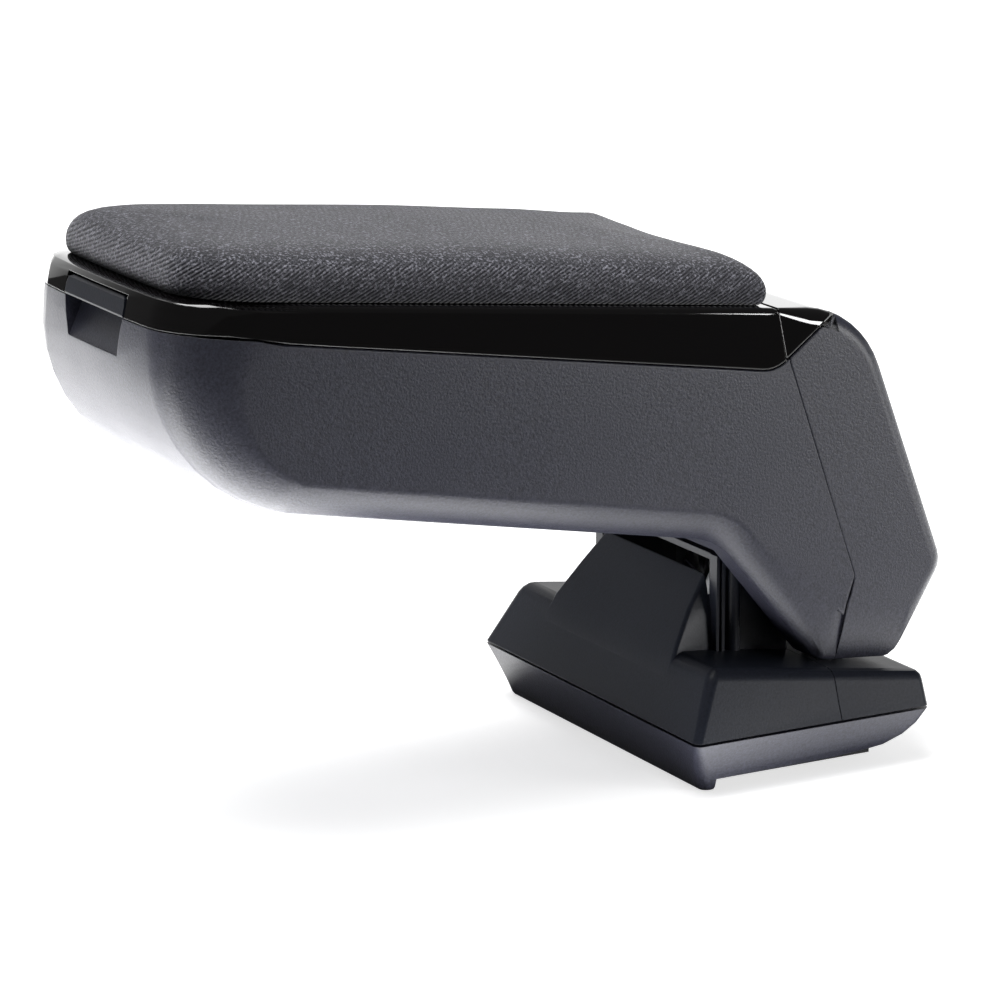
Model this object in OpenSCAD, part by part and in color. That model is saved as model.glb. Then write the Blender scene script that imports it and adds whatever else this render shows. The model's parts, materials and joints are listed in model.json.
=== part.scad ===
// Car centre armrest: a clamp-down base, a steel pivot, a tilting arm with a storage
// box, and a padded lid held shut by a finger latch.
// -X is the front of the armrest, +Z is up, and the part is symmetric about y = 0.
// The origin is the centre of the screw pattern, on the underside of the foot.

/* [Base] */
// Length of the base at the seam between shell and foot
base_len = 104; // [100:1:108]
// Width of the base at that seam
base_w = 160; // [156:1:168]
// Height of the foot, from the underside to the seam
foot_h = 18; // [16:0.5:20]
// Height of the shell above the seam at the front
shell_front_h = 24.8; // [24:0.2:26]
// Height of the shell above the seam at the rear
shell_rear_h = 12.6; // [11:0.2:13]
// How far the top of the shell leans in on each side at the front
shell_side_lean = 8.8; // [6:0.2:10]
// How far the top of the shell leans back at the front
shell_front_lean = 11.8; // [9:0.2:13]
// Wall of the moulded base parts
base_wall = 2.5; // [2:0.1:3]
// Open line between shell and foot
base_seam_gap = 1; // [0.6:0.1:1.4]
// Length of the base's rear cover, ahead of the rear end of the base
rear_cover_len = 40; // [38:1:42]

/* [Hood] */
// Gap on each side between the hood and the opening it stands in
hood_gap = 2.5; // [2.2:0.1:4]
// How far the hood's top leans in on each side from that opening
hood_top_in = 13; // [11.5:0.5:14.5]

/* [Pivot] */
// Distance of the pivot in from the rear end of the base
pivot_in = 14.1; // [12.5:0.1:15.5]
// Height of the pivot above the seam
pivot_up = 31.1; // [30.5:0.1:32]
// Radius of the pivot axle
axle_r = 5; // [4:0.25:6]
// Running clearance between an axle or pin and its bush
run_gap = 0.05; // [0.02:0.01:0.09]
// Thickness of the steel ears and hinge plates
steel_t = 3; // [2.5:0.25:3.5]
// Distance from the side of the arm's opening in to the far face of each steel ear
ear_in = 10; // [9.5:0.5:11]
// Slope of the arm at rest, front end high
arm_pitch = 6; // [5:0.25:7]

/* [Arm] */
// Reach of the arm ahead of the pivot
arm_reach = 303; // [290:1:320]
// Height of the lid's top above the pivot
top_z = 120; // [118:0.5:124]
// Half-width of the arm above the pivot
arm_half = 66.8; // [66:0.2:68]
// Narrowing of each side for each millimetre forward
arm_taper = 0.0122; // [0.008:0.001:0.02]
// Wall of the moulded arm parts
arm_wall = 2.5; // [2:0.1:3]
// Depth of the seam line between the lid and the arm
lid_gap = 0.4; // [0.3:0.1:0.6]
// Width of each side of the leg, from its outer face in to the opening the hood stands in
leg_side = 19.3; // [18.8:0.1:19.8]

/* [Lid] */
// Height of the cushion above the gloss frame
cushion_h = 19.5; // [15:0.5:22]
// Ledge of the gloss frame left showing round the cushion
ledge = 3.2; // [2:0.2:5]
// Radius of the lid's hinge barrels
barrel_r = 2.6; // [2.4:0.1:2.8]
// Radius of the lid and latch pins
pin_r = 1.5; // [1.25:0.05:1.6]

/* [Latch] */
// Half-width of the latch tab
tab_half = 24.6; // [20:0.2:27]
// Height of the latch tab
tab_h = 7.35; // [6.8:0.05:7.7]
// Depth of the finger recess at its top
recess_d = 6.5; // [5:0.25:7]

/* [Mount] */
// Distance of the console screws in from the base's front and rear ends
screw_in_x = 27; // [26:0.5:30]
// Distance of the console screws in from the base's sides
screw_in_y = 28; // [26:0.5:30]
// Radius of the console screw holes
screw_hole_r = 2.6; // [2.2:0.1:2.8]

/* [Hidden] */

// Moulded plastic, metal and cloth colours
grey = [0.28, 0.285, 0.31];
black = [0.12, 0.125, 0.15];
gloss = [0.04, 0.035, 0.04];
steel = [0.62, 0.63, 0.65];
rubber = [0.09, 0.09, 0.1];
cloth = [0.17, 0.17, 0.2];

// A cut goes this far past what it cuts
past = 20;
// Gap between faces on different moving bodies
body_gap = 0.3;
// Tiny edge break where two pieces meet at a seam
seam_edge = 0.6;

// Places shared by the base parts
seam_z = foot_h;
front_x = -base_len / 2;
pivot_x = base_len / 2 - pivot_in;
slot_half = arm_half - leg_side;
pivot_z = seam_z + pivot_up;
cover_x = base_len / 2 - rear_cover_len;
screw_dx = base_len - screw_in_x * 2;
screw_dy = base_w - screw_in_y * 2;
ear_y = slot_half - ear_in;
pad_t = 1.5;
floor_t = 3.5;
floor_z = pad_t + floor_t;

// Places shared by the arm parts, measured from the pivot along the lid's own plane
front = -arm_reach;
split_front = [front, 108.2];
split_rear = [-58.4, 96.4];
tail_low = [-53.9, 101.3];
seam_kink = [-14.4, 18.7];
seam_low = [-17, -14.5];
leg_front_low = [-25, -14.7];
leg_rear_low = [9, -14.1];
rear_kink = [26.5, 23];
rear_top = [-22.5, top_z];
arch = [-72.5, 31.5];
chin = [front, 49];
chin_r = 58;
arch_r = 22;
back_r = 39;

// The lid's hinge line
hinge = [-62.8, top_z - barrel_r];
// The latch's hinge line
latch_axis = [front + 3, split_front[1] + 4.8];

// Helpers for flat geometry
function unit(v) = v / norm(v);
function left(v) = [-v[1], v[0]];
function turn(v, a) = [v[0] * cos(a) - v[1] * sin(a), v[0] * sin(a) + v[1] * cos(a)];
function mix(a, b, f) = a + (b - a) * f;
function turn_angle(u, v) = atan2(u[0] * v[1] - u[1] * v[0], u * v);

// An arc of n steps that rounds corner b of a path a, b, c: each entry is [point, inward normal]
function corner(a, b, c, r, n) =
    let (u = unit(b - a), v = unit(c - b), t = turn_angle(u, v), s = sign(t))
    let (start = b - u * r * tan(abs(t) / 2), mid = start + s * r * left(u))
    [for (i = [0 : n]) let (d = left(turn(u, t * i / n))) [mid - s * r * d, d]];

// Half-width of the arm's side face at x
function half_w(x) = arm_half + arm_taper * x;

// An outline station is [point, full inset towards the side face, drop of the edge from
// the side face, squareness of the rounding, forward bow of the middle]
function station(p, inset, drop, power, bow = 0) = [p, inset, drop, power, bow];
function moved(s, v) = [s[0] + v, s[1], s[2], s[3], s[4]];

// The rings of a shell, from one side face round the edge to the other:
// [angle round the edge, share of the edge's half-width]
edge_steps = 5;
rings = concat([for (i = [0 : edge_steps]) [90 * i / edge_steps, -1]], [[90, -0.5], [90, 0], [90, 0.5]],
    [for (i = [edge_steps : -1 : 0]) [90 * i / edge_steps, 1]]);

function ring_point(s, ring, thin) =
    let (out = pow(sin(ring[0]), 2 / s[3]), in = pow(cos(ring[0]), 2 / s[3]))
    let (p = s[0] + s[1] * (1 - out), f = ring[1])
    let (y = f * (half_w(p[0]) - thin - s[2] * (1 - in)), bow = abs(f) < 1 ? s[4] * (1 - f * f) : 0)
    [p[0] - bow, y, p[1]];

// A solid between two chains of stations of equal length, symmetric about y = 0.
// The side faces are cut into ribs that join the chains.
module shell_block(low, high, thin = 0) {
    n = len(low);
    loop = concat(low, [for (i = [n - 1 : -1 : 0]) high[i]]);
    m = len(loop);
    k = len(rings);
    sides = [for (r = [0 : k - 2]) for (i = [0 : m - 1])
        let (j = (i + 1) % m, a = r * m)
        each [[a + i, a + m + j, a + m + i], [a + i, a + j, a + m + j]]];
    last = (k - 1) * m;
    caps = [for (i = [0 : n - 2]) let (a = i, b = i + 1, c = m - 2 - i, d = m - 1 - i)
        each [[a, c, b], [a, d, c], [last + a, last + b, last + c], [last + a, last + c, last + d]]];
    polyhedron(points = [for (r = rings) each [for (s = loop) ring_point(s, r, thin)]],
        faces = concat(sides, caps), convexity = 8);
}

// A plate with its outline in the x-z plane, from y0 to y1
module side_plate(points, y0, y1) {
    translate([0, y1, 0])
        rotate([90, 0, 0])
            linear_extrude(y1 - y0)
                polygon(points);
}

// A block with its outline in the y-z plane, from x0 to x1
module front_plate(points, x0, x1) {
    translate([x0, 0, 0])
        rotate([90, 0, 90])
            linear_extrude(x1 - x0)
                polygon(points);
}

// A box between two corners
module block(low, high) {
    translate(low)
        cube(high - low);
}

// A round bar along y
module bar_y(x, z, r, y0, y1) {
    translate([x, y0, z])
        rotate([-90, 0, 0])
            cylinder(h = y1 - y0, r = r, $fn = 48);
}

// A countersunk-free pan screw with its head's underside at z = 0 and its shank pointing down
module pan_screw(r, length) {
    translate([0, 0, -length])
        cylinder(h = length, r = r, $fn = 32);
    difference() {
        cylinder(h = r * 1.2, r = r * 2, $fn = 32);
        translate([0, 0, r * 0.5])
            cylinder(h = r, r = r * 0.9, $fn = 6);
    }
}

module both_sides() {
    children();
    mirror([0, 1, 0])
        children();
}

// The arm's own axes: the origin is on the pivot and the lid's top is level
module arm_frame() {
    translate([pivot_x, 0, pivot_z])
        rotate([0, arm_pitch, 0])
            children();
}

// A solid stacked from rounded rectangles: each level is
// [z at front, z at rear, x at front, x at rear, half-width at front, at rear, corner radius]
corner_steps = 5;
function level_ring(v) = [for (q = [0 : 3]) for (i = [0 : corner_steps])
    let (a = 90 * (q + i / corner_steps), at_rear = q == 0 || q == 3, side = q < 2 ? 1 : -1)
    let (x = at_rear ? v[3] - v[6] : v[2] + v[6], half = at_rear ? v[5] : v[4])
    let (p = [x + v[6] * cos(a), side * (half - v[6]) + v[6] * sin(a)])
    [p[0], p[1], mix(v[0], v[1], (p[0] - v[2]) / (v[3] - v[2]))]];

module stack(levels) {
    m = 4 * (corner_steps + 1);
    last = (len(levels) - 1) * m;
    sides = [for (k = [0 : len(levels) - 2]) for (i = [0 : m - 1])
        let (j = (i + 1) % m, a = k * m)
        each [[a + i, a + m + i, a + m + j], [a + i, a + m + j, a + j]]];
    caps = [for (i = [1 : m - 2]) each [[0, i, i + 1], [last, last + i + 1, last + i]]];
    polyhedron(points = [for (v = levels) each level_ring(v)], faces = concat(sides, caps), convexity = 6);
}

function grown(v, g) = [v[0], v[1], v[2] - g, v[3] + g, v[4] + g, v[5] + g, max(v[6] + g, 0.5)];
function at_height(a, b, f) = a + (b - a) * f;

// Base: the foot
foot_top = foot_h - base_seam_gap;
half_len = base_len / 2;
half_base = base_w / 2;
lip_low = -3;
foot_lean = 0.37;
function foot_front(z) = front_x + (foot_top - z) * foot_lean;
foot_levels = [
    [lip_low, lip_low, foot_front(lip_low) + 0.6, half_len - 37, half_base - 7.8, half_base - 15, 3],
    [lip_low + 1, lip_low + 1, foot_front(lip_low + 1), half_len - 33, half_base - 6.9, half_base - 13.7, 4.5],
    [pad_t + 1.5, pad_t + 1.5, foot_front(pad_t + 1.5), half_len - 13, half_base - 5.2, half_base - 7, 5],
    [pad_t + 5, pad_t + 5, foot_front(pad_t + 5), half_len - 7, half_base - 4.2, half_base - 4.6, 4.5],
    [pad_t + 9.5, pad_t + 9.5, foot_front(pad_t + 9.5), half_len - 2.4, half_base - 2.6, half_base - 2.6, 4],
    [foot_top, foot_top, front_x, half_len, half_base, half_base, 3]];
foot_hollow = [for (i = [2 : 5]) let (v = grown(foot_levels[i], -base_wall))
    [i == 2 ? floor_z : v[0], i == 2 ? floor_z : v[1], v[2], v[3], v[4], v[5], v[6]]];
lip_rear = front_x + 12.5;
shell_screw_in = 17;
shell_screw_at = [[cover_x - 20, half_base - shell_screw_in], [cover_x + 12, half_base - shell_screw_in]];
bracket_x = [half_len - 46, half_len - 18];
bracket_screw_at = [for (x = [bracket_x[0] + 6, bracket_x[1] - 6]) [x, ear_y * 2 / 3]];
console_boss_r = 4.5;
shell_screw_r = 1.5;
bracket_screw_r = 2.5;
boss_r = 3.6;

module at_console_screws() {
    for (x = [-1, 1])
        for (y = [-1, 1])
            translate([x * screw_dx / 2, y * screw_dy / 2, 0])
                children();
}

module at_pairs(places) {
    both_sides()
        for (p = places)
            translate([p[0], p[1], 0])
                children();
}

module foot() {
    color(grey)
        difference() {
            union() {
                difference() {
                    stack(foot_levels);
                    block([lip_rear, -half_base - past, -past], [half_len + past, half_base + past, pad_t]);
                    stack([for (v = foot_hollow) v[0] == foot_top ? dropped(v, -1) : v]);
                }
                at_console_screws()
                    cylinder(h = pad_t + 1, r = console_boss_r, $fn = 48);
            }
            at_console_screws()
                translate([0, 0, -past])
                    cylinder(h = past * 2, r = screw_hole_r, $fn = 48);
            at_pairs(shell_screw_at) {
                translate([0, 0, -past])
                    cylinder(h = past * 2, r = shell_screw_r + 0.2, $fn = 32);
                translate([0, 0, pad_t - past])
                    cylinder(h = past + 1.5, r = shell_screw_r * 2 + 0.4, $fn = 32);
            }
            at_pairs(bracket_screw_at)
                translate([0, 0, -past])
                    cylinder(h = past * 2, r = bracket_screw_r, $fn = 32);
        }
}

pad_in_rear = 21;
pad_in_side = 9.8;
pad_front = lip_rear + 0.2;
pad_rear = half_len - pad_in_rear;
pad_half = half_base - pad_in_side;
module foot_pad() {
    color(rubber)
        difference() {
            block([pad_front, -pad_half, 0], [pad_rear, pad_half, pad_t]);
            at_console_screws()
                translate([0, 0, -past])
                    cylinder(h = past * 2, r = console_boss_r + 0.3, $fn = 48);
            at_pairs(shell_screw_at)
                translate([0, 0, -past])
                    cylinder(h = past * 2, r = shell_screw_r * 2 + 0.6, $fn = 32);
        }
}

// Base: the shell and its rear cover
shell_round = 4;
shell_low = [seam_z, seam_z, front_x, half_len, half_base, half_base, 3];
rear_lean = shell_side_lean * shell_rear_h / shell_front_h;
shell_high = [seam_z + shell_front_h, seam_z + shell_rear_h, front_x + shell_front_lean, half_len + 0.4,
    half_base - shell_side_lean, half_base - rear_lean, 4];
function shell_level(g, a, d) =
    let (v = at_height(shell_low, shell_high, 1 - shell_round / shell_front_h), t = shell_high)
    let (s = sin(a), w = at_height(v, t, s), e = grown(w, g - shell_round * (1 - cos(a))))
    [t[0] - shell_round * (1 - s) - d, t[1] - shell_round * (1 - s) - d, e[2], e[3], e[4], e[5], e[6]];
function shell_levels(g, d) = concat([grown(shell_low, g)], [for (a = [0, 30, 60, 90]) shell_level(g, a, d)]);
function dropped(v, d) = [v[0] - d, v[1] - d, v[2], v[3], v[4], v[5], v[6]];
shell_inner = concat([dropped(grown(shell_low, -base_wall), 1)],
    [for (a = [0, 45, 90]) shell_level(-base_wall, a, base_wall)]);
cover_gap = 0.15;

function shell_top_z(x) = mix(shell_high[0], shell_high[1],
    (x - shell_high[2]) / (shell_high[3] - shell_high[2]));
module shell_boss(place) {
    at_pairs([place])
        translate([0, 0, floor_z])
            cylinder(h = shell_top_z(place[0]) - floor_z - 1.2, r = boss_r, $fn = 32);
}

module base_form() {
    difference() {
        stack(shell_levels(0, 0));
        stack(shell_inner);
    }
}

// The hood: a mask that carries on the curve of the front face, a body behind it,
// two ribs and a round column on each side
hood_half_low = slot_half - hood_gap;
hood_half_high = slot_half - hood_top_in;
hood_front = [
    [seam_z + 16, front_x + 7.6, hood_half_low + 2],
    [seam_z + 26, front_x + 12, hood_half_low],
    [seam_z + 39, pivot_x - 69.3, mix(hood_half_low, hood_half_high, 0.46)],
    [seam_z + 51.7, pivot_x - 59.3, mix(hood_half_low, hood_half_high, 0.82)],
    [seam_z + 60, pivot_x - 49.9, hood_half_high]];
hood_body_half = slot_half - 6.2;
hood_mask_rear = pivot_x - 58.9;
hood_body_rear = cover_x;
rib_half = slot_half - 3;
rib_x = [pivot_x - 59.6, pivot_x - 57.1];
column_x = pivot_x - 50.6;
column_r = 3;

function mask_level(v, g) = [v[0], v[0], v[1] - g, max(hood_mask_rear, v[1] + 5) + 2, v[2] + g,
    min(hood_body_half, v[2]) + g, 1.5];

module hood_cap(drop) {
    arm_frame()
        block([-90, -half_base, hood_top - drop], [20, half_base, hood_top + past * 2]);
}

module hood_form() {
    difference() {
        union() {
            stack([for (v = hood_front) mask_level(v, 0)]);
            block([hood_mask_rear, -hood_body_half, seam_z + 14],
                [hood_body_rear, hood_body_half, seam_z + 62]);
            both_sides()
                for (x = rib_x)
                    block([x, hood_body_half - 2, seam_z + 14], [x + 1.3, rib_half, seam_z + 62]);
            both_sides()
                translate([column_x, hood_body_half, seam_z + 14])
                    cylinder(h = 48, r = column_r, $fn = 32);
        }
        hood_cap(0);
    }
}

module hood_hollow() {
    difference() {
        union() {
            stack([for (v = hood_front)
                mask_level([v[0] - (v[0] > seam_z + 20 ? 0 : past), v[1], v[2]], -base_wall)]);
            block([hood_mask_rear - 1, base_wall - hood_body_half, seam_z - 2],
                [hood_body_rear + past, hood_body_half - base_wall, seam_z + 64]);
        }
        hood_cap(base_wall);
    }
}

module base_shell() {
    color(black)
        difference() {
            union() {
                base_form();
                hood_form();
                shell_boss(shell_screw_at[0]);
            }
            hood_hollow();
            block([cover_x - cover_gap, -base_w, 0], [base_len, base_w, top_z]);
            at_pairs([shell_screw_at[0]])
                cylinder(h = foot_top, r = shell_screw_r, $fn = 32);
        }
}

ear_half = 10;
module base_rear_cover() {
    color(black)
        difference() {
            union() {
                base_form();
                shell_boss(shell_screw_at[1]);
            }
            block([-base_len, -base_w, 0], [cover_x + cover_gap, base_w, top_z]);
            both_sides()
                block([pivot_x - ear_half - 9, ear_y - 0.5, seam_z],
                    [pivot_x + ear_half - 1, ear_y + steel_t + 0.5, top_z]);
            at_pairs([shell_screw_at[1]])
                cylinder(h = foot_top, r = shell_screw_r, $fn = 32);
        }
}

// The steel bracket that carries the pivot
module pivot_bracket() {
    color(steel)
        difference() {
            union() {
                block([bracket_x[0], -ear_y - steel_t, floor_z],
                    [bracket_x[1], ear_y + steel_t, floor_z + steel_t]);
                both_sides() {
                    side_plate([[bracket_x[0] + 4, floor_z], [bracket_x[1], floor_z],
                        [pivot_x + ear_half, pivot_z], [pivot_x - ear_half, pivot_z]], ear_y, ear_y + steel_t);
                    bar_y(pivot_x, pivot_z, ear_half, ear_y, ear_y + steel_t);
                }
            }
            bar_y(pivot_x, pivot_z, axle_r, -half_base, half_base);
            at_pairs(bracket_screw_at)
                cylinder(h = past, r = bracket_screw_r + 0.2, $fn = 32);
        }
}

module bracket_screws() {
    color(steel)
        at_pairs(bracket_screw_at)
            translate([0, 0, floor_z + steel_t])
                pan_screw(bracket_screw_r, steel_t + floor_t);
}

module shell_screws() {
    color(steel)
        at_pairs(shell_screw_at)
            translate([0, 0, pad_t + 1.5])
                mirror([0, 0, 1])
                    pan_screw(shell_screw_r, foot_top - pad_t - 3);
}

// The pivot: axle, friction washers and clips stay with the base
washer_gap = 0.3;
cheek_t = 2.5;
bush_in = slot_half - 1;
bush_out = slot_half + cheek_t + steel_t + 1;
clip_t = 1.2;
groove_d = 0.6;
axle_end = bush_out + 3;
clip_y = bush_out + washer_gap;

module pivot_axle() {
    color(steel)
        difference() {
            bar_y(pivot_x, pivot_z, axle_r, -axle_end, axle_end);
            both_sides()
                difference() {
                    bar_y(pivot_x, pivot_z, axle_r + 1, clip_y, clip_y + clip_t);
                    bar_y(pivot_x, pivot_z, axle_r - groove_d, clip_y - 1, clip_y + clip_t + 1);
                }
        }
}

module friction_washers() {
    color(steel)
        both_sides()
            difference() {
                bar_y(pivot_x, pivot_z, 11, ear_y + steel_t, bush_in - washer_gap);
                bar_y(pivot_x, pivot_z, axle_r, ear_y, bush_in);
                difference() {
                    bar_y(pivot_x, pivot_z, 12, ear_y + steel_t + 2.5, ear_y + steel_t + 3);
                    bar_y(pivot_x, pivot_z, 9, ear_y, bush_in);
                }
            }
}

module axle_clips() {
    color(steel)
        both_sides()
            difference() {
                bar_y(pivot_x, pivot_z, axle_r + 3, clip_y, clip_y + clip_t);
                bar_y(pivot_x, pivot_z, axle_r - groove_d, clip_y - 1, clip_y + clip_t + 1);
                translate([pivot_x, clip_y - 1, pivot_z - 2.5])
                    cube([20, clip_t + 2, 5]);
            }
}

// Edge roundings of the arm, from the front face to the underside and the leg
nose_inset = 32;
nose_drop = 21;
nose_bow = 1.5;
bevel_inset = 13;
bevel_drop = 9;
bevel_power = 1.4;
leg_inset = 22;
leg_drop = 4;
back_inset = 6;
back_drop = 5;

function nose_station(p, f) = station(p[0], p[1] * mix(nose_inset, bevel_inset, f),
    mix(nose_drop, bevel_drop, f), mix(2, bevel_power, f), nose_bow * (1 - f));
function bevel_station(p, f) = station(p[0], p[1] * mix(bevel_inset, bevel_inset * 0.7, f),
    mix(bevel_drop, leg_drop, f), bevel_power);
function seam_station(p) = station(p, [-seam_edge, 0], seam_edge, 2);
function top_station(x, z) = station([x, z], [0, -seam_edge], seam_edge, 2);
function back_station(p, g = 0) = station(p[0] - p[1] * g, p[1] * -back_inset, back_drop, 2);

chin_steps = 9;
arch_steps = 5;
chin_arc = corner(split_front, chin, arch, chin_r, chin_steps);
arch_arc = corner(chin, arch, leg_front_low, arch_r, arch_steps);
back_arc = corner([front, top_z], rear_top, rear_kink, back_r, 24);
kink_arc = corner(rear_top, rear_kink, leg_rear_low, 10, 3);
heel_arc = corner(rear_kink, leg_rear_low, leg_front_low, 6, 3);
toe_arc = corner(arch, leg_front_low, leg_rear_low, 5, 2);
tail_arc = corner(split_front, split_rear, tail_low, 14, 10);
tail_high = back_arc[6][0];

// Height of the line between lid and arm, and of the arm's underside, at x
function split_z(x) = mix(split_front, split_rear, (x - front) / (split_rear[0] - front))[1];
function belly_z(x) = mix(chin, arch, (x - chin[0]) / (arch[0] - chin[0]))[1];

// The storage box inside the arm
box_front = front + arm_wall;
box_rear = -72;
box_floor_t = 3;
nose_x = front + nose_inset + 4;
run_steps = 6;
function nose_run(i) = mix(nose_x, front + 90, i / run_steps);

// Chains of the arm's outer form
arm_low = concat(
    [for (i = [0 : chin_steps]) nose_station(chin_arc[i], i / chin_steps)],
    [for (i = [0 : arch_steps]) bevel_station(arch_arc[i], 0.5 * i / arch_steps)],
    [for (i = [0 : 2]) bevel_station(toe_arc[i], 0.6 + 0.2 * i)]);
arm_high = concat(
    [station(split_front, [nose_inset, -seam_edge], nose_drop, 2, nose_bow)],
    [for (i = [1 : run_steps]) top_station(nose_run(i), split_z(nose_run(i)))],
    [for (x = [-110, -85]) top_station(x, split_z(x))],
    [for (i = [0 : 2 : 10]) let (p = tail_arc[i]) station(p[0], p[1] * -seam_edge, seam_edge, 2)],
    [for (f = [0.02, 0.7, 1]) seam_station(mix(tail_low, seam_kink, f))],
    [station(seam_low, [-seam_edge, leg_inset], leg_drop, bevel_power)]);

box_low = concat(
    [for (i = [0 : chin_steps]) let (p = chin_arc[i]) moved(nose_station(p, i / chin_steps), p[1] * arm_wall)],
    [station([box_rear, belly_z(box_rear) + box_floor_t], [0, bevel_inset], bevel_drop, bevel_power)]);
box_high = concat(
    [station([box_front, split_z(front) + past], [nose_inset, 0], nose_drop, 2, nose_bow)],
    [for (i = [1 : chin_steps]) let (x = mix(nose_x, front + 90, i / chin_steps))
        top_station(x, split_z(x) + past)],
    [top_station(box_rear, split_z(box_rear) + past)]);

// The hollow of the leg, open behind for the rear cover
leg_front_x = box_rear + arm_wall;
leg_dir = unit(leg_front_low - arch);
leg_in = left(leg_dir) * (arm_wall + 0.5);
deck_z = split_rear[1] - arm_wall - 0.5;
shin_high = mix(arch, leg_front_low, 0.22) + leg_in;
shin_low = mix(arch, leg_front_low, 0.94) + leg_in;
function hollow_station(p) = station(p, left(leg_dir) * (bevel_inset - 2), bevel_drop - 1, bevel_power);
leg_hollow_low = [hollow_station([leg_front_x, belly_z(leg_front_x) + box_floor_t + 2]),
    hollow_station(shin_high), hollow_station(shin_low), hollow_station([past, shin_low[1]])];
leg_hollow_high = [top_station(leg_front_x, deck_z), top_station(-45, deck_z), top_station(-10, deck_z),
    top_station(past, deck_z)];

// Finger recess under the latch, wider and deeper at its top
recess_top_z = split_z(front);
recess_low_z = recess_top_z - 13.7;
recess_low_half = tab_half - 3.9;
module recess(grow) {
    g = grow;
    intersection() {
        side_plate([[front - 5, recess_top_z + 0.1 + g], [front + recess_d + g, recess_top_z + 0.1 + g],
            [front + g, recess_low_z], [front - 5, recess_low_z]], -40, 40);
        front_plate([[-tab_half - g, recess_top_z + 1 + g], [tab_half + g, recess_top_z + 1 + g],
            [recess_low_half + g, recess_low_z - g], [-recess_low_half - g, recess_low_z - g]],
            front - 10, front + 20);
    }
}

// Posts in the front corners of the box for the lid's bumpers
post_x = front + 38;
post_in = 14;
post_y = half_w(post_x) - arm_wall - post_in;
post_r = 4.5;
bumper_h = 2.6;
liner_gap = 0.5;
liner_t = 2.2;
post_top = split_z(post_x) + liner_gap + lid_gap - body_gap - bumper_h;

// Cheek walls that close the leg beside the hood, and the beam that stops the arm
hood_top = 22;
beam_low = hood_top + body_gap + 2;
beam_t = 5.5;
beam_x = [-52, -42];
cheek = [[leg_front_x - 0.5, deck_z + 0.5], [leg_front_x - 0.5, 34], arch + [7, -3.5], leg_front_low + [1, 0.8],
    seam_low + [-0.4, 0.5], seam_kink + [-0.4, 0], mix(tail_low, seam_kink, 0.1) + [-0.4, 0]];

// Pad for the strike on the box's front wall
strike_face = front + 9;
strike_low = 78;
plate_screw_at = [[-60, 44], [-58, 78]];
plate_screw_r = 2;
strike_screw_y = 10;
strike_screw_z = strike_low + 6;
small_screw_r = 1.5;

module arm_shell() {
    color(grey)
        arm_frame()
            difference() {
                union() {
                    difference() {
                        shell_block(arm_low, arm_high);
                        difference() {
                            shell_block(box_low, box_high, arm_wall);
                            recess(arm_wall - 0.4);
                            both_sides()
                                translate([post_x, post_y, 0])
                                    cylinder(h = post_top, r = post_r, $fn = 32);
                            block([front - past, -16, strike_low], [strike_face, 16, strike_low + 12]);
                        }
                        shell_block(leg_hollow_low, leg_hollow_high, arm_wall);
                    }
                    both_sides()
                        side_plate(cheek, slot_half, slot_half + cheek_t);
                    block([beam_x[0], -slot_half, beam_low], [beam_x[1], slot_half, beam_low + beam_t]);
                }
                recess(0);
                side_plate([[-66, -30], [-66, 34], [-54, 34], [-54, hood_top], [-40, hood_top],
                    [-40, 34], [0, 34], [0, -30]], -slot_half, slot_half);
                both_sides()
                    for (p = plate_screw_at)
                        bar_y(p[0], p[1], plate_screw_r, slot_half - 1, slot_half + cheek_t + 1);
                both_sides()
                    translate([strike_face, strike_screw_y, strike_screw_z])
                        rotate([0, -90, 0])
                            cylinder(h = 5, r = small_screw_r, $fn = 32);
            }
}

// The rear cover: tail line, seam and the outer back
function tail_station(p) = station(p, [seam_edge, -seam_edge], seam_edge, 2);
function cover_seam(p) = station(p, [seam_edge, 0], seam_edge, 2);
function cover_leg(f) = station(mix(seam_kink, seam_low, f), [seam_edge, leg_inset * f],
    mix(seam_edge, leg_drop, f), mix(2, bevel_power, f));
open_rise = 24;
open_drop = 10;
function open_station(x, lean = 0) = station([x, heel_in[1]], [lean, open_rise], open_drop, 2);
function open_seam(f) = station(mix(seam_kink, [seam_low[0], heel_in[1]], f) + [-6, 0], [0, open_rise * f],
    mix(seam_edge, open_drop, f), 2);
shin_dir = unit(leg_rear_low - rear_kink);
heel_in = mix(rear_kink, leg_rear_low, 1.2) - left(shin_dir) * arm_wall;
shin_in = mix(rear_kink, leg_rear_low, 0.4) - left(shin_dir) * arm_wall;
function shin_point(z) = mix(rear_kink, leg_rear_low, (rear_kink[1] - z) / (rear_kink[1] - leg_rear_low[1]));

// The side face ends in one corner above the heel, and the heel curves in from there
heel_face_z = leg_rear_low[1] + leg_inset;
heel_face = shin_point(heel_face_z) + [back_inset / shin_dir[1], 0];
function heel_station(i) = let (p = heel_arc[i][0])
    station(p, heel_face + [-0.4, -0.02] * i - p, mix(back_drop, leg_drop, i / 3), mix(2, bevel_power, i / 3));
cover_low = concat(
    [for (f = [0.03, 0.5, 0.98]) tail_station(mix(tail_high, tail_low, f))],
    [for (f = [0.02, 0.18, 0.34, 0.5, 0.66, 0.82, 1]) cover_seam(mix(tail_low, seam_kink, f))],
    [for (f = [0.2, 0.4, 0.55, 0.7, 0.85, 1]) cover_leg(f)]);
cover_high = concat(
    [for (i = [6 : 3 : 24]) back_station(back_arc[i])],
    [for (p = kink_arc) back_station(p)],
    [station(shin_point(heel_face_z + 3), left(shin_dir) * -back_inset, back_drop, 2)],
    [for (i = [0 : 3]) heel_station(i)]);
cover_in_low = concat(
    [tail_station(tail_high + [4, -8])],
    [for (f = [0.06, 0.3, 0.5, 0.7, 1]) cover_seam(mix(tail_low, seam_kink, f) + [-4, -4])],
    [for (f = [0.4, 0.7, 1]) open_seam(f)]);
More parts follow.
